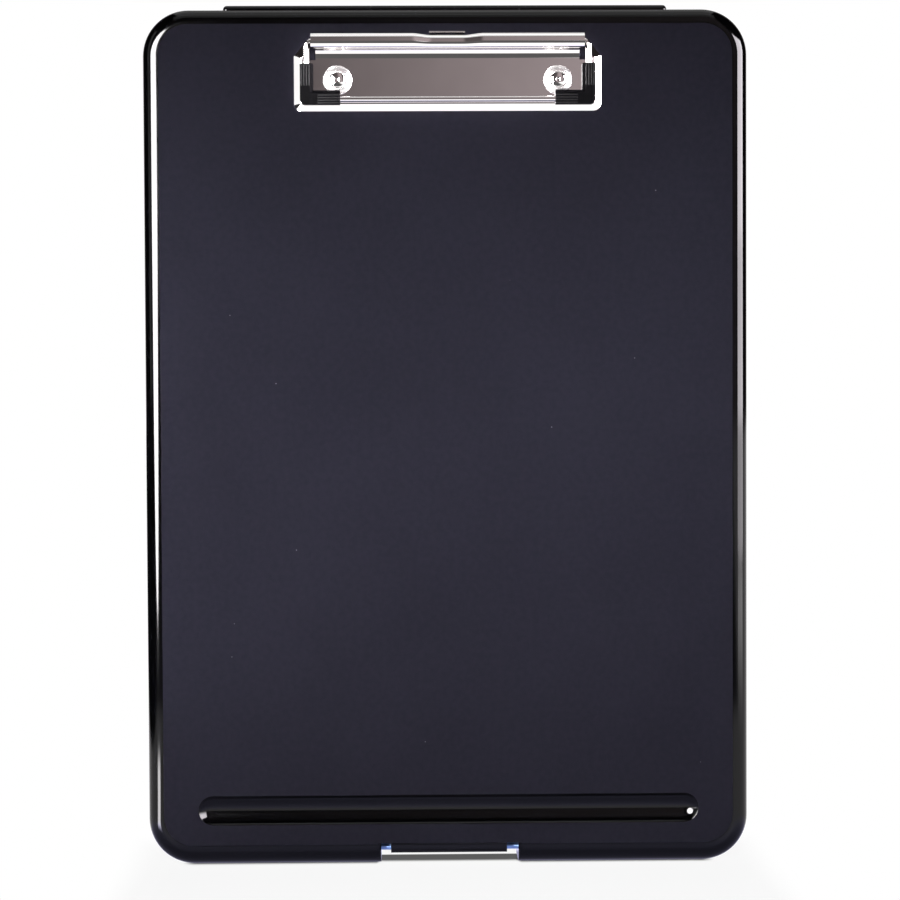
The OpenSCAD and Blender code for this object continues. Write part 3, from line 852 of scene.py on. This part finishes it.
class CLIPBOARD_OT_latch(bpy.types.Operator):
    """Make the latch and the axle that it turns on"""
    bl_idname = "clipboard.latch"
    bl_label = "Latch"

    def execute(self, context):
        box, size = sizes("box"), sizes("latch")
        half = size.width / 2
        slot = "Polished plastic"
        latch = block("latch", (-half, size.front_y, size.top - size.wall), (half, size.axle_y, size.top), slot)
        carve(latch, block("Lip", (-half, size.front_y, size.foot), (half, size.front_y + size.wall, size.top),
                           slot), "UNION")
        for side in (-1, 1):
            ends = sorted((side * half, side * (half - size.wall)))
            carve(latch, block("Cheek", (ends[0], size.front_y, size.foot), (ends[1], size.axle_y, size.top),
                               slot), "UNION")
        axis = (size.axle_y, size.axle_z)
        carve(latch, rod("Barrel", axis, axis, [(-half, size.barrel_r), (half, size.barrel_r)], slot), "UNION")
        catch_y = box.front_y + 3.6 * MM
        carve(latch, block("Catch", (-size.catch_w / 2, catch_y, size.top - OVER),
                           (size.catch_w / 2, catch_y + 1.6 * MM, size.top + size.catch_h), slot), "UNION")
        soften(latch, 0.12 * MM, 2)
        for z, high in ((size.foot + 0.9 * MM, 0.25 * MM), (size.top - 0.6 * MM, 0.4 * MM)):
            carve(latch, block("Line", (-half + 0.3 * MM, size.front_y - OVER, z),
                               (half - 0.3 * MM, size.front_y + 0.6 * MM, z + high), slot))
        shade(latch)
        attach(latch, "latch")
        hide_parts("latch")
        low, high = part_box("latch_axle")
        r, edge = size.axle_r, 0.2 * MM
        axle = rod("latch_pin", axis, axis, [(low.x, r - edge), (low.x + edge, r), (high.x - edge, r),
                                             (high.x, r - edge)], "Blued steel", steps=48)
        shade(axle)
        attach(axle, "base")
        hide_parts("latch_axle")
        return {"FINISHED"}


# ---- Clip ----


def on_clip(x, z, height):
    """Point of the clip, from its place across, up the box and above the writing panel."""
    return Vector((sizes("clip").x + x, sizes("box").front_y - height, z))


def plate_loop(inset, height):
    """Outline of the base plate, drawn in from its edge."""
    clip = sizes("clip")
    half = clip.plate_w / 2 - inset
    low, top = clip.plate_z + inset, clip.plate_top - inset
    slant = 0.6 * inset
    corners = [(-half, low), (half, low), (half, top - clip.slant_h + slant),
               (half - clip.slant_w + slant, top), (-half + clip.slant_w - slant, top),
               (-half, top - clip.slant_h + slant)]
    lower, upper = max(clip.corner - inset, 0.4 * MM), 0.7 * MM
    outline = rounded(corners, [lower, lower, upper, upper, upper, upper], 10)
    return [on_clip(x, z, height) for x, z in outline]


def pan(name, inset, drop):
    """Pan with sloped and rounded sides. It is drawn in and lowered for the sheet's inner side."""
    clip = sizes("clip")
    h = clip.flat_h
    section = rounded([(0, 0), (0, 0.3 * MM), (clip.border, h), (clip.border + 3 * MM, h)],
                      [0, 0.12 * MM, 1.2 * MM, 0], 7, closed=False)
    loops = [plate_loop(x + inset, y - drop) for x, y in section]
    return loft(name, loops, "Bright plating")


def sheet_section(path, thickness):
    """Closed section of a sheet whose seen side is the path."""
    inner = []
    count = len(path)
    for i in range(count):
        a, b = Vector(path[max(i - 1, 0)]), Vector(path[min(i + 1, count - 1)])
        along = (b - a).normalized()
        inner.append((path[i][0] + along.y * thickness, path[i][1] - along.x * thickness))
    return list(path) + inner[::-1]


def crimp_share(x):
    """How far the sleeve is crimped at a place across the clip, from 0 to 1."""
    clip = sizes("clip")
    t = min(max((clip.crimp_w / 2 + 4 * MM - abs(x)) / (8 * MM), 0), 1)
    return t * t * (3 - 2 * t)


def strip_along(name, stations, path_at):
    loops = [[on_clip(x, z, h) for z, h in sheet_section(path_at(x), sizes("clip").sheet)] for x in stations]
    return loft(name, loops, "Bright plating")


class CLIPBOARD_OT_clip_plate(bpy.types.Operator):
    """Make the clip's base plate with its web and rolled sleeve"""
    bl_idname = "clipboard.clip_plate"
    bl_label = "Clip plate"

    def execute(self, context):
        box, clip = sizes("box"), sizes("clip")
        plate = pan("clip_base", 0, 0)
        carve(plate, pan("Inner side", 1.2 * MM, clip.sheet))
        web_r = clip.sleeve_h - clip.flat_h
        crease = clip.sleeve_z - clip.sleeve_rz - clip.web_run
        web_half = clip.sleeve_w / 2 - clip.web_inset
        start = crease - 1.0 * MM
        for half, low in ((web_half, start), (clip.sleeve_w / 2 + OVER, crease)):
            carve(plate, block("Cut", (clip.x - half, box.front_y - 5 * MM, low),
                               (clip.x + half, box.front_y + 1 * MM, box.height), "Bright plating"))

        def web_path(x):
            bend = arc((0, 0), 1, -90, 0, 14)
            return [(start, clip.flat_h)] + [(crease + clip.web_run * z, clip.sleeve_h + web_r * h) for z, h in bend]

        def roll_path(x):
            dent = clip.crimp_d * crimp_share(x)
            low = clip.sleeve_z - clip.sleeve_rz
            rise, deep = clip.sleeve_rz - dent, clip.sleeve_r - dent
            return [(low + rise * (1 + z), clip.sleeve_h + deep * h) for z, h in arc((0, 0), 1, 180, -90, 44)]

        web = strip_along("Web", [-web_half, 0, web_half], web_path)
        half = clip.sleeve_w / 2
        near = [(-16 + 0.5 * i) * MM for i in range(65)]
        roll = strip_along("Roll", [-half, -half / 2] + near + [half / 2, half], roll_path)
        section = [(326.9, 1.5), (326.5, 1.5), (325.2, 0.5), (326.9, 0.5)]
        lip = loft("Lip", [[on_clip(x, z * MM, h * MM) for z, h in section] for x in (-7.2 * MM, 6.9 * MM)],
                   "Bright plating")
        for part in (web, roll, lip, plate):
            shade(part, 40)
        with bpy.context.temp_override(active_object=plate, selected_editable_objects=[plate, web, roll, lip]):
            bpy.ops.object.join()
        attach(plate, "lid")
        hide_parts("clip_plate")
        return {"FINISHED"}


def tube(name, points, radius, steps=20, *materials):
    """Round wire through the points, with a flat end at both ends."""
    loops = []
    across = None
    for i, point in enumerate(points):
        along = (points[min(i + 1, len(points) - 1)] - points[max(i - 1, 0)]).normalized()
        if across is None:
            across = along.orthogonal().normalized()
        across = (across - along * across.dot(along)).normalized()
        other = along.cross(across)
        loops.append([point + radius * (across * math.cos(a) + other * math.sin(a))
                      for a in (2 * math.pi * k / steps for k in range(steps))])
    return loft(name, loops, *materials)


class CLIPBOARD_OT_bail(bpy.types.Operator):
    """Make the bail's bent wire"""
    bl_idname = "clipboard.bail"
    bl_label = "Bail"

    def execute(self, context):
        clip, bail = sizes("clip"), sizes("bail")
        top, low = clip.sleeve_z, clip.sleeve_z - bail.reach
        corners = [(1 * MM, top), (bail.leg_x, top), (bail.leg_x, low), (0, low)]
        half = rounded(corners, [0, bail.bend_r, bail.bend_r, 0], 10, closed=False)
        path = half + [(-x, z) for x, z in half[-2::-1]]
        wire = tube("bail", [on_clip(x, z, clip.sleeve_h) for x, z in path], bail.wire_r, 24, "Bright plating")
        shade(wire, 50)
        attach(wire, "bail")
        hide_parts("bail_wire")
        return {"FINISHED"}


def grip_rib_tree():
    """Geometry nodes: a row of box ribs, from their number, spacing and sizes; the grips' operator rounds them
    afterwards.
    """
    tree = bpy.data.node_groups.get("Grip ribs")
    if tree:
        return tree
    tree = bpy.data.node_groups.new("Grip ribs", "GeometryNodeTree")
    face = tree.interface
    for name, kind, default in (("Ribs", "NodeSocketInt", 4), ("Pitch", "NodeSocketFloat", 1 * MM),
                                ("Rib size", "NodeSocketVector", (1 * MM, 1 * MM, 1 * MM)),
                                ("Start", "NodeSocketVector", (0, 0, 0)),
                                ("Across", "NodeSocketVector", (1, 0, 0)),
                                ("Finish", "NodeSocketMaterial", None)):
        socket = face.new_socket(name, in_out="INPUT", socket_type=kind)
        if default is not None:
            socket.default_value = default
    face.new_socket("Geometry", in_out="OUTPUT", socket_type="NodeSocketGeometry")
    add = tree.nodes.new
    given, out = add("NodeGroupInput"), add("NodeGroupOutput")
    line, step = add("GeometryNodeMeshLine"), add("ShaderNodeVectorMath")
    line.mode, line.count_mode, step.operation = "OFFSET", "TOTAL", "SCALE"
    rib, place_ribs = add("GeometryNodeMeshCube"), add("GeometryNodeInstanceOnPoints")
    real, paint = add("GeometryNodeRealizeInstances"), add("GeometryNodeSetMaterial")
    link = tree.links.new
    link(given.outputs["Across"], step.inputs[0])
    link(given.outputs["Pitch"], step.inputs["Scale"])
    link(given.outputs["Ribs"], line.inputs["Count"])
    link(given.outputs["Start"], line.inputs["Start Location"])
    link(step.outputs[0], line.inputs["Offset"])
    link(given.outputs["Rib size"], rib.inputs["Size"])
    link(line.outputs["Mesh"], place_ribs.inputs["Points"])
    link(rib.outputs["Mesh"], place_ribs.inputs["Instance"])
    link(place_ribs.outputs[0], real.inputs[0])
    link(real.outputs[0], paint.inputs["Geometry"])
    link(given.outputs["Finish"], paint.inputs["Material"])
    link(paint.outputs[0], out.inputs[0])
    return tree


def run_tree(name, tree, inputs, source=None):
    """Runs a geometry node tree and keeps its result as a plain mesh."""
    mesh = source.data.copy() if source else bpy.data.meshes.new(name)
    piece = bpy.data.objects.new(name, mesh)
    bpy.context.scene.collection.objects.link(piece)
    modifier = piece.modifiers.new("Build", "NODES")
    modifier.node_group = tree
    for item in tree.interface.items_tree:
        if item.item_type == "SOCKET" and item.in_out == "INPUT" and item.name in inputs:
            modifier[item.identifier] = inputs[item.name]
    return settle(piece)


def join(piece, others):
    with bpy.context.temp_override(active_object=piece, selected_editable_objects=[piece, *others]):
        bpy.ops.object.join()
    return piece


class CLIPBOARD_OT_grips(bpy.types.Operator):
    """Make the two corner grips of the bail"""
    bl_idname = "clipboard.grips"
    bl_label = "Grips"

    def execute(self, context):
        clip, bail = sizes("clip"), sizes("bail")
        foot = clip.sleeve_z - bail.reach - bail.grip_edge
        outer = bail.leg_x + bail.grip_edge
        back, front = clip.sleeve_h - bail.grip_t / 2, clip.sleeve_h + bail.grip_t / 2
        inner_x, inner_z = outer - bail.grip_w, foot + bail.grip_low
        for side, name in ((-1, "left"), (1, "right")):
            soft, c = 0.25 * MM, bail.chamfer
            rows = []
            # Each row: height, draw-in of the outer sides, draw-in of the inner sides
            for height, out_in, in_in in ((back, soft, bail.under), (back + soft, 0, 0.7 * bail.under),
                                          (back + 0.8 * MM, 0, 0), (front - c, 0, 0),
                                          (front - soft, 0, c - soft), (front, soft, c)):
                drawn = [(outer - out_in, foot + out_in), (outer - out_in, foot + bail.grip_leg_h - out_in),
                         (inner_x + in_in, foot + bail.grip_leg_h - out_in), (inner_x + in_in, inner_z - in_in),
                         (outer - bail.grip_leg_w + out_in, inner_z - in_in),
                         (outer - bail.grip_leg_w + out_in, foot + out_in)]
                radii = [bail.corner - out_in, 0.2 * MM, 0.2 * MM, 0.3 * MM, 0.2 * MM, 0.2 * MM]
                outline = rounded(drawn, radii, 6)
                rows.append([on_clip(side * x, z, height) for x, z in outline])
            grip = loft("grip_" + name, rows, "Soft grip")
            room = bail.grip_w - c - 2 * bail.rib_w
            pitch = room / (bail.ribs - 1)
            upright = {"Ribs": bail.ribs, "Pitch": pitch, "Finish": material("Grip ribs"),
                       "Rib size": (bail.rib_w, 2 * bail.rib_h, bail.rib_run),
                       "Start": on_clip(side * (outer - 1.5 * bail.rib_w),
                                        foot + bail.grip_leg_h - bail.rib_run / 2 - soft, front),
                       "Across": (-side, 0, 0)}
            lying = dict(upright, **{"Rib size": (bail.rib_run, 2 * bail.rib_h, bail.rib_w),
                                     "Start": on_clip(side * (outer - bail.grip_leg_w + bail.rib_run / 2 + soft),
                                                      foot + 1.5 * bail.rib_w, front),
                                     "Across": (0, 0, 1)})
            ribs = [run_tree("Ribs", grip_rib_tree(), inputs) for inputs in (upright, lying)]
            for rib in ribs:
                soften(rib, 0.1 * MM, 2)
            for part in (grip, *ribs):
                shade(part, 40)
            join(grip, ribs)
            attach(grip, "bail")
            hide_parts("grip_" + name)
        return {"FINISHED"}


def pair_tree():
    """Geometry nodes: the given part at both rivet places."""
    tree = bpy.data.node_groups.get("Rivet pair")
    if tree:
        return tree
    tree = bpy.data.node_groups.new("Rivet pair", "GeometryNodeTree")
    face = tree.interface
    face.new_socket("Part", in_out="INPUT", socket_type="NodeSocketGeometry")
    face.new_socket("Spacing", in_out="INPUT", socket_type="NodeSocketFloat")
    face.new_socket("First", in_out="INPUT", socket_type="NodeSocketVector")
    face.new_socket("Finish", in_out="INPUT", socket_type="NodeSocketMaterial")
    face.new_socket("Geometry", in_out="OUTPUT", socket_type="NodeSocketGeometry")
    add, link = tree.nodes.new, tree.links.new
    given, out, line = add("NodeGroupInput"), add("NodeGroupOutput"), add("GeometryNodeMeshLine")
    line.mode, line.count_mode = "OFFSET", "TOTAL"
    line.inputs["Count"].default_value = 2
    step, put = add("ShaderNodeCombineXYZ"), add("GeometryNodeInstanceOnPoints")
    real, paint = add("GeometryNodeRealizeInstances"), add("GeometryNodeSetMaterial")
    link(given.outputs["Spacing"], step.inputs["X"])
    link(step.outputs[0], line.inputs["Offset"])
    link(given.outputs["First"], line.inputs["Start Location"])
    link(line.outputs["Mesh"], put.inputs["Points"])
    link(given.outputs["Part"], put.inputs["Instance"])
    link(put.outputs[0], real.inputs[0])
    link(real.outputs[0], paint.inputs["Geometry"])
    link(given.outputs["Finish"], paint.inputs["Material"])
    link(paint.outputs[0], out.inputs[0])
    return tree


def turned(name, profile, finish, steps=64):
    """Part turned round an axis that points to the front, from rows of radius and height."""
    loops = [[Vector((r * math.cos(a), -h, r * math.sin(a)))
              for a in (2 * math.pi * i / steps for i in range(steps))] for r, h in profile]
    return loft(name, loops, finish)


class CLIPBOARD_OT_rivets(bpy.types.Operator):
    """Make the rivets, the domed rings and the washers inside the lid"""
    bl_idname = "clipboard.rivets"
    bl_label = "Rivets"

    def execute(self, context):
        box, panel, clip, size = sizes("box"), sizes("panel"), sizes("clip"), sizes("rivets")
        first = on_clip(-size.spacing / 2, size.z, 0)
        flat, seat = clip.flat_h, clip.flat_h + size.ring_h
        inside = -(panel.rise + box.wall + size.washer_t)
        r, h = size.head_r, size.head_h
        head = [(r, seat), (r, seat + 0.22 * h), (0.985 * r, seat + 0.32 * h), (0.93 * r, seat + 0.48 * h),
                (0.8 * r, seat + 0.7 * h), (0.6 * r, seat + 0.88 * h), (0.4 * r, seat + 0.97 * h),
                (0.3 * r, seat + h), (0.26 * r, seat + 0.96 * h), (0.2 * r, seat + 0.84 * h),
                (0.02 * r, seat + 0.82 * h)]
        tail_r = size.shank_r + 1 * MM
        tail = [(0.02 * MM, inside - size.tail_h), (tail_r - 0.3 * MM, inside - size.tail_h),
                (tail_r, inside - size.tail_h + 0.3 * MM), (tail_r, inside), (size.shank_r, inside)]
        k, top = size.ring_r, size.ring_h
        inner = size.shank_r + 0.05 * MM
        ring = [(inner, flat), (k - 0.1 * MM, flat), (k, flat + 0.1 * MM)]
        ring += [(k + (r - k) * share, flat + top * rise) for share, rise in
                 ((0.06, 0.2), (0.15, 0.31), (0.3, 0.47), (0.5, 0.67), (0.7, 0.84), (0.84, 0.92),
                  (0.86, 0.1), (0.99, 0.1), (1.0, 1.0))]
        ring += [(inner, flat + top)]
        t = size.washer_t
        washer = [(inner, inside), (size.washer_r - 0.15 * MM, inside), (size.washer_r, inside + 0.15 * MM),
                  (size.washer_r, inside + t - 0.15 * MM), (size.washer_r - 0.15 * MM, inside + t),
                  (inner, inside + t)]
        rows = (("rivets", tail + [(size.shank_r, seat)] + head, "Bright plating", "rivet_", "clip_chrome", False),
                ("rivet_rings", ring, "Satin plating", "rivet_ring_", "clip_chrome", True),
                ("washers", washer, "Drawn steel", "rivet_washer_", "pin_steel", True))
        for name, profile, finish, node, slot, bored in rows:
            if bored:
                shape = bmesh.new()
                around = [[Vector((r_ * math.cos(a), -h_, r_ * math.sin(a)))
                           for a in (2 * math.pi * i / 64 for i in range(64))] for r_, h_ in profile]
                add_rows(shape, around + around[:1])
                bmesh.ops.remove_doubles(shape, verts=shape.verts, dist=1e-7)
                part = to_object("Part", shape, finish)
            else:
                part = turned("Part", profile, finish)
            inputs = {"Spacing": size.spacing, "First": first, "Finish": material(finish)}
            pair = run_tree(name, pair_tree(), inputs, part)
            bpy.data.objects.remove(part)
            shade(pair, 38)
            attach(pair, "lid")
            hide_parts(node + "left", node + "right")
        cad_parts["hinge_rod"].data.materials.clear()
        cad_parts["hinge_rod"].data.materials.append(material("Drawn steel"))
        return {"FINISHED"}


# ---- Stage ----


def soft_box(name, place_, aim, width, height, radiance, tint=(1, 1, 1), spread=180, seen_by="glossy",
             roll=0):
    """Flat soft light that faces a point, seen by one kind of ray. Its radiance is its brightness."""
    light = bpy.data.lights.new(name, "AREA")
    light.shape, light.size, light.size_y = "RECTANGLE", width, height
    light.energy = radiance * math.pi * width * height
    light.color, light.spread = tint, math.radians(spread)
    lamp = bpy.data.objects.new(name, light)
    bpy.context.scene.collection.objects.link(lamp)
    lamp.location = place_
    lamp.rotation_mode = "QUATERNION"
    facing = (Vector(aim) - Vector(place_)).to_track_quat("-Z", "Y")
    lamp.rotation_quaternion = facing @ Quaternion((0, 0, 1), math.radians(roll))
    lamp.visible_camera = False
    lamp.visible_diffuse, lamp.visible_glossy = seen_by == "diffuse", seen_by == "glossy"
    return lamp


def studio_world():
    """White studio behind the box, and a dim room in front of it that only mirrors see."""
    world = bpy.data.worlds.new("Studio")
    bpy.context.scene.world = world
    world.use_nodes = True
    tree = world.node_tree
    tree.nodes.clear()
    where = make_node(tree, "ShaderNodeTexCoord")
    split = tree.nodes.new("ShaderNodeSeparateXYZ")
    tree.links.new(where.socket, split.inputs[0])
    x, y, z = (Wire(tree, split.outputs[n]) for n in range(3))
    front = (-y).ramp(0.5, 0.75) * abs(x).ramp(0.45, 0.30)
    behind = y.ramp(0.68, 1.0)
    room = (0.205 + 2.3 * x).most(0.08).least(0.45)
    dim = 0.02 + front * room
    level = behind + (1.0 - behind) * dim
    rays = tree.nodes.new("ShaderNodeLightPath")
    seen, mirrored = (Wire(tree, rays.outputs[n]) for n in ("Is Camera Ray", "Is Glossy Ray"))
    tint = behind.mix((1.0, 0.84, 0.86), (1.0, 1.0, 1.0))
    glow = make_node(tree, "ShaderNodeVectorMath", {"operation": "MULTIPLY"}, {0: tint, 1: level.grey()})
    soft = make_node(tree, "ShaderNodeBackground", None, {"Color": (1.0, 1.0, 1.0), "Strength": 0.04})
    room_light = make_node(tree, "ShaderNodeBackground", None, {"Color": glow, "Strength": 1.0})
    white = make_node(tree, "ShaderNodeBackground", None, {"Color": (1.0, 1.0, 1.0), "Strength": 1.0})
    first = make_node(tree, "ShaderNodeMixShader", None, {0: mirrored, 1: soft, 2: room_light})
    last = make_node(tree, "ShaderNodeMixShader", None, {0: seen, 1: first, 2: white})
    output = tree.nodes.new("ShaderNodeOutputWorld")
    tree.links.new(last.socket, output.inputs["Surface"])


class CLIPBOARD_OT_stage(bpy.types.Operator):
    """Make the table, the studio light and the camera"""
    bl_idname = "clipboard.stage"
    bl_label = "Stage"

    def execute(self, context):
        scene = context.scene
        scene.view_settings.view_transform = "Standard"
        half = 6.0
        shape = bmesh.new()
        shape.faces.new([shape.verts.new(p) for p in
                         ((-half, -half, 0), (half, -half, 0), (half, half, 0), (-half, half, 0))])
        mesh = bpy.data.meshes.new("Table")
        shape.to_mesh(mesh)
        shape.free()
        table = bpy.data.objects.new("Table", mesh)
        scene.collection.objects.link(table)
        mesh.materials.append(table_top(0.006, 0.42, 0.25))
        studio_world()
        soft_box("Key", (0, -1.0, 0.58), (0.091, 0, 0.160), 0.15, 0.15, 3.2, spread=26, seen_by="diffuse")
        soft_box("Fill", (-0.76, -1.05, 0.30), (-0.292, 0, 0.174), 0.2, 0.2, 6.2, spread=27.7, seen_by="diffuse")
        left = soft_box("Left mirror light", (-0.569, -0.893, 0.36), (-0.118, 0, 0.36), 0.74, 0.72, 56.0,
                        (1.0, 0.98, 1.0))
        left.data.shape = "ELLIPSE"
        soft_box("Left mirror wing", (-1.40, -0.50, 0.72), (0, 0, 0.25), 0.42, 1.16, 1.25)
        for step, (low, radiance) in enumerate(((0.01, 11.0), (0.14, 14.0), (0.32, 11.0))):
            middle, back = (low + 1.0) / 2, 1.0 + 0.02 * step
            soft_box("Right mirror light %d" % (step + 1), (1.324 * back, -0.71 * back, middle),
                     (0.118, 0, middle), 1.33, 1.0 - low, radiance, (1.0, 0.95, 1.0))
        soft_box("Top mirror light", (0, 0.25, 1.45), (0, 0, 0.32), 1.0, 1.3, 1.0)
        soft_box("Near mirror light", (0, -0.087, 0.507), (0, -0.015, 0.32), 0.36, 0.10, 0.8)
        camera = bpy.data.cameras.new("Camera")
        camera.lens, camera.sensor_width = 101.943, 36.0
        camera.clip_start, camera.clip_end = 0.05, 50.0
        viewer = bpy.data.objects.new("Camera", camera)
        scene.collection.objects.link(viewer)
        yaw, pitch, roll = -0.017698, -0.034095, 0.004614
        turn = Matrix.Rotation(yaw, 3, "Z") @ Matrix.Rotation(pitch, 3, "X") @ Matrix.Rotation(roll, 3, "Y")
        right, forward, up = (turn.col[i] for i in range(3))
        pose = Matrix((right, up, -forward)).transposed().to_4x4()
        pose.translation = Vector((-0.01663, sizes("box").front_y - 1.0, 0.19746))
        viewer.matrix_world = pose
        scene.camera = viewer
        return {"FINISHED"}


class CLIPBOARD_PT_panel(bpy.types.Panel):
    """Lists the pieces of the clipboard box"""
    bl_idname = "CLIPBOARD_PT_panel"
    bl_label = "Storage clipboard box"
    bl_space_type = "VIEW_3D"
    bl_region_type = "UI"
    bl_category = "Clipboard"

    def draw(self, context):
        for operator in OPERATORS:
            self.layout.operator(operator.bl_idname)
        for name in GROUPS:
            group = sizes(name)
            for key in group.bl_rna.properties.keys():
                if key not in ("rna_type", "name"):
                    self.layout.prop(group, key)


GROUPS = {"box": BoxSizes, "panel": PanelSizes, "hinge": HingeSizes, "latch": LatchSizes,
          "clip": ClipSizes, "bail": BailSizes, "rivets": RivetSizes, "colours": FinishColours}
OPERATORS = (CLIPBOARD_OT_lid, CLIPBOARD_OT_tray, CLIPBOARD_OT_latch, CLIPBOARD_OT_clip_plate,
             CLIPBOARD_OT_bail, CLIPBOARD_OT_grips, CLIPBOARD_OT_rivets, CLIPBOARD_OT_stage)


def register():
    for group in (*GROUPS.values(), *OPERATORS, CLIPBOARD_PT_panel):
        bpy.utils.register_class(group)
    for name, group in GROUPS.items():
        setattr(bpy.types.Scene, "clipboard_" + name, PointerProperty(type=group))


def unregister():
    for name in GROUPS:
        delattr(bpy.types.Scene, "clipboard_" + name)
    for group in reversed((*GROUPS.values(), *OPERATORS, CLIPBOARD_PT_panel)):
        bpy.utils.unregister_class(group)


def main():
    register()
    for operator in OPERATORS:
        category, name = operator.bl_idname.split(".")
        getattr(getattr(bpy.ops, category), name)()


if __name__ == "__main__":
    main()
